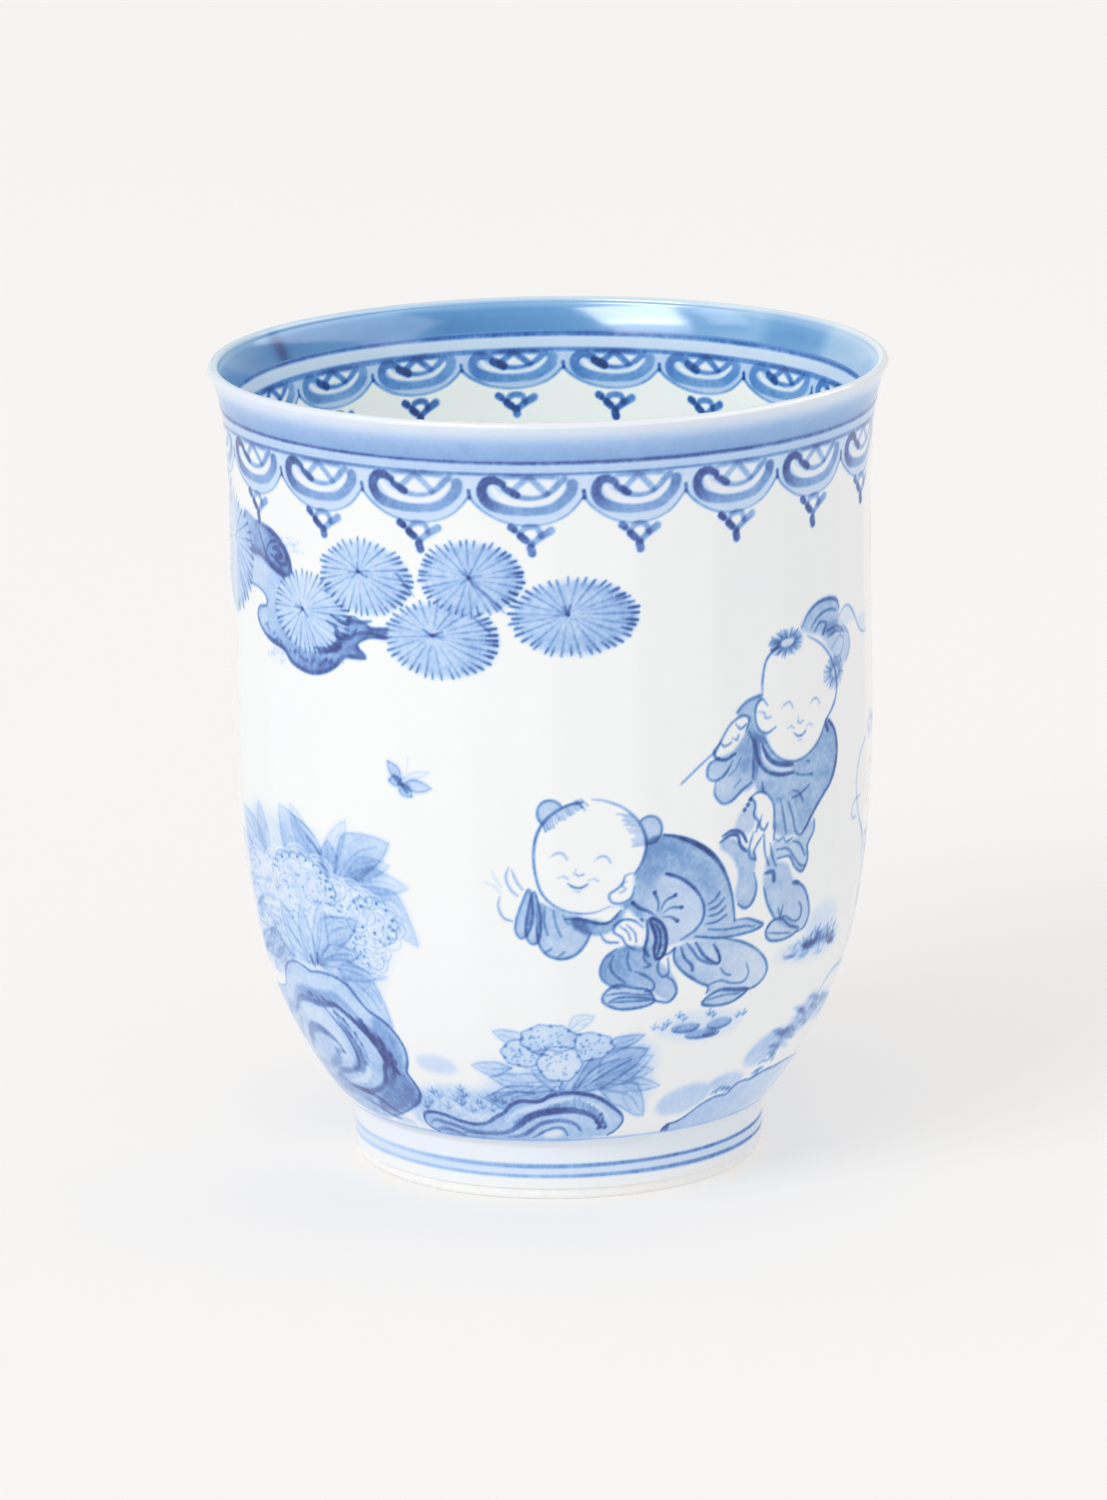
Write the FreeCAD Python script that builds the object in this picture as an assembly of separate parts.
import FreeCAD, Part
import math
import os

# Tall straight-sided teacup (yunomi): a thrown porcelain wall with soft upright flats,
# a turned foot ring, and the glaze coats that cover them.
# Origin: centre of the foot's resting plane. +Z runs up the cup's axis, -Y is the front.

# Sizes in millimetres
CUP_HEIGHT = 96.0
LIP_RADIUS = 40.0           # outermost point of the rolled lip
LIP_ROUND = 0.65            # radius of the lip's rounded top
FOOT_HEIGHT = 7.5           # the wall starts here, on top of the foot ring
FOOT_RADIUS = 24.45         # over the glaze
FOOT_BARE = 1.4             # height of the unglazed edge the cup rests on
FOOT_EDGE = 0.7             # rounding of that edge, outside and in
RECESS_MOUTH_RADIUS = 21.3  # inside of the foot ring at the bottom
RECESS_TOP_RADIUS = 20.7    # inside of the foot ring under the floor
GLAZE = 0.3                 # thickness of every glaze coat
LIP_BAND_OUTSIDE = 91.0     # lower edge of the cobalt lip glaze on the outside
LIP_BAND_INSIDE = 92.0      # lower edge of the cobalt lip glaze on the inside
CORE_TOP = 95.6             # flat top of the porcelain under the lip glaze
CORE_TOP_RADIUS = 39.62

FLATS = 24                  # upright flats round the wall
POINTS_PER_FLAT = 6         # spline points per flat; their spacing rounds the edges
FLATS_START = (12.0, 34.0)  # heights over which the flats grow in
FLATS_END = (78.0, 89.0)    # heights over which they fade out towards the lip

# Outside of the wall over the glaze: (radius, height), foot joint to lip
OUTER_WALL = (
    (25.50, 7.5), (27.55, 10.1), (30.06, 14.1), (32.60, 18.9), (34.80, 24.5),
    (36.50, 32.5), (37.60, 42.5), (38.05, 56.5), (37.90, 70.5), (37.95, 82.5),
    (38.20, 88.5), (38.56, 91.0), (39.05, 93.0), (39.60, 94.5),
)

# Inside of the wall over the glaze: (radius, height), centre of the floor to lip
INNER_WALL = (
    (0.0, 12.6), (12.0, 12.8), (20.0, 14.3), (26.0, 18.0), (30.2, 23.6), (33.2, 32.0),
    (34.8, 42.5), (35.4, 56.5), (35.4, 70.5), (35.6, 82.5), (36.0, 88.5), (36.9, 92.0),
    (37.7, 93.8), (38.3, 94.8),
)


def smooth_step(value, start, end):
    share = min(max((value - start) / (end - start), 0.0), 1.0)
    return share * share * (3.0 - 2.0 * share)


def slope_at(wall, index):
    """Change of radius per unit of height along the wall."""
    low = wall[max(index - 1, 0)]
    high = wall[min(index + 1, len(wall) - 1)]
    return (high[0] - low[0]) / (high[1] - low[1])


def flat_depth(radius, height, angle):
    """How far the flats sink below the round wall."""
    half = math.pi / FLATS
    from_middle = (angle % (2.0 * half)) - half
    chord = radius * (1.0 - math.cos(half) / math.cos(from_middle))
    grown = smooth_step(height, *FLATS_START) * (1.0 - smooth_step(height, *FLATS_END))
    return chord * grown


def section(radius, height):
    """Closed level outline of the wall, with its flats; an edge faces the front."""
    count = FLATS * POINTS_PER_FLAT
    points = []
    for index in range(count):
        angle = 2.0 * math.pi * index / count
        reach = radius - flat_depth(radius, height, angle)
        points.append(FreeCAD.Vector(reach * math.sin(angle), -reach * math.cos(angle), height))
    steps = [index / count for index in range(count + 1)]
    curve = Part.BSplineCurve()
    curve.interpolate(Points=points, PeriodicFlag=True, Parameters=steps)
    return Part.Wire(curve.toShape())


def walled(stations):
    """Solid with flats through level outlines given as (radius, height)."""
    return Part.makeLoft([section(radius, height) for radius, height in stations], True, False)


def at(radius, height):
    return FreeCAD.Vector(radius, 0.0, height)


def spline(points):
    curve = Part.BSplineCurve()
    curve.interpolate([at(*point) for point in points])
    return curve.toShape()


def chain(points):
    """Straight edges through the points."""
    return [Part.makeLine(at(*a), at(*b)) for a, b in zip(points, points[1:])]


def turned(edges):
    """Solid turned about the Z axis from a closed outline in the XZ plane."""
    outline = Part.Wire(Part.__sortEdges__(edges))
    return Part.Face(outline).revolve(at(0.0, 0.0), FreeCAD.Vector(0, 0, 1), 360.0)


def moved_out(wall, distance):
    """Wall points moved square to the wall, away from the inside of the cup."""
    result = []
    for index, (radius, height) in enumerate(wall):
        low = wall[max(index - 1, 0)]
        high = wall[min(index + 1, len(wall) - 1)]
        run = (high[0] - low[0], high[1] - low[1])
        length = math.hypot(*run)
        out = (run[1] / length * distance, -run[0] / length * distance)
        result.append((max(radius + out[0], 0.0), height + out[1]))
    result[0] = (0.0, wall[0][1] - distance)
    return result


def cavity(wall, top_radius):
    """Solid that fills the inside of a wall up to above the lip."""
    rim = wall[-1]
    above = CUP_HEIGHT + LIP_ROUND
    edges = [spline(wall)]
    edges += chain((rim, (top_radius, CORE_TOP), (top_radius, above), (0.0, above), wall[0]))
    return turned(edges)


def core_outline():
    """Outside of the porcelain: the glazed outline less the thickness of the glaze."""
    stations = []
    for index, (radius, height) in enumerate(OUTER_WALL):
        lean = math.hypot(1.0, slope_at(OUTER_WALL, index))
        stations.append((radius - GLAZE * lean, height))
    return stations + [(CORE_TOP_RADIUS, CORE_TOP)]


def glazed_outline():
    return [station for station in OUTER_WALL if station[1] <= LIP_BAND_OUTSIDE]


def lip_form():
    """Ring with the lip's rounded top, from both lower edges of the cobalt band upward."""
    outside = [station for station in OUTER_WALL if station[1] >= LIP_BAND_OUTSIDE]
    inside = [station for station in INNER_WALL if station[1] >= LIP_BAND_INSIDE]
    centre = (LIP_RADIUS - LIP_ROUND, CUP_HEIGHT - LIP_ROUND)
    outermost = (LIP_RADIUS, centre[1])
    innermost = (centre[0] - LIP_ROUND, centre[1])
    crown = Part.Arc(at(*outermost), at(centre[0], CUP_HEIGHT), at(*innermost)).toShape()
    inside_wall = inside + [innermost]
    middle = (inside[0][0] + outside[0][0]) / 2.0
    joint = (inside[0], (middle, LIP_BAND_INSIDE), (middle, LIP_BAND_OUTSIDE), outside[0])
    return turned([spline(outside + [outermost]), crown, spline(inside_wall)] + chain(joint))


def foot_ring():
    outer = FOOT_RADIUS - GLAZE
    ring = chain((
        (outer, FOOT_EDGE), (outer, FOOT_HEIGHT), (RECESS_TOP_RADIUS + GLAZE, FOOT_HEIGHT),
        (RECESS_MOUTH_RADIUS, FOOT_BARE), (RECESS_MOUTH_RADIUS, FOOT_EDGE),
    ))
    bend = FOOT_EDGE * (1.0 - math.sqrt(0.5))
    for side, inward in ((outer, -1.0), (RECESS_MOUTH_RADIUS, 1.0)):
        start = at(side, FOOT_EDGE)
        middle = at(side + inward * bend, bend)
        ring.append(Part.Arc(start, middle, at(side + inward * FOOT_EDGE, 0.0)).toShape())
    ring.append(Part.makeLine(at(outer - FOOT_EDGE, 0.0), at(RECESS_MOUTH_RADIUS + FOOT_EDGE, 0.0)))
    return turned(ring)


def foot_glaze():
    """Coat on the outside of the foot, pooled in the corner under the wall."""
    core = FOOT_RADIUS - GLAZE
    wall = core_outline()[0][0]
    pool = wall - FOOT_RADIUS
    start = (FOOT_RADIUS, FOOT_HEIGHT - pool)
    bend = pool * (1.0 - math.sqrt(0.5))
    fillet = Part.Arc(at(*start), at(FOOT_RADIUS + bend, FOOT_HEIGHT - bend), at(wall, FOOT_HEIGHT))
    sides = chain(((wall, FOOT_HEIGHT), (core, FOOT_HEIGHT), (core, FOOT_BARE),
                   (FOOT_RADIUS, FOOT_BARE), start))
    return turned([fillet.toShape()] + sides)


def base_glaze():
    """Coat on the underside of the floor and on the inside of the foot ring."""
    under = FOOT_HEIGHT - GLAZE
    return turned(chain((
        (0.0, FOOT_HEIGHT), (RECESS_TOP_RADIUS + GLAZE, FOOT_HEIGHT),
        (RECESS_MOUTH_RADIUS, FOOT_BARE), (RECESS_MOUTH_RADIUS - GLAZE, FOOT_BARE),
        (RECESS_TOP_RADIUS, under), (0.0, under), (0.0, FOOT_HEIGHT),
    )))


os.makedirs("parts", exist_ok=True)

core_cavity = cavity(moved_out(INNER_WALL, GLAZE), LIP_RADIUS - 2.0 * LIP_ROUND + GLAZE)
core = walled(core_outline())
porcelain_wall = core.cut(core_cavity)

below_band = Part.makeCylinder(LIP_RADIUS, LIP_BAND_INSIDE)
glazed_cavity = cavity(INNER_WALL, LIP_RADIUS - 2.0 * LIP_ROUND)

nodes = {
    "porcelain_wall": porcelain_wall,
    "foot_ring": foot_ring(),
    "outer_glaze": walled(glazed_outline()).cut(core),
    "inner_glaze": core_cavity.common(below_band).cut(glazed_cavity),
    "lip_glaze": lip_form().cut(porcelain_wall),
    "foot_glaze": foot_glaze(),
    "base_glaze": base_glaze(),
}

for name, shape in nodes.items():
    shape.exportStep("parts/" + name + ".step")
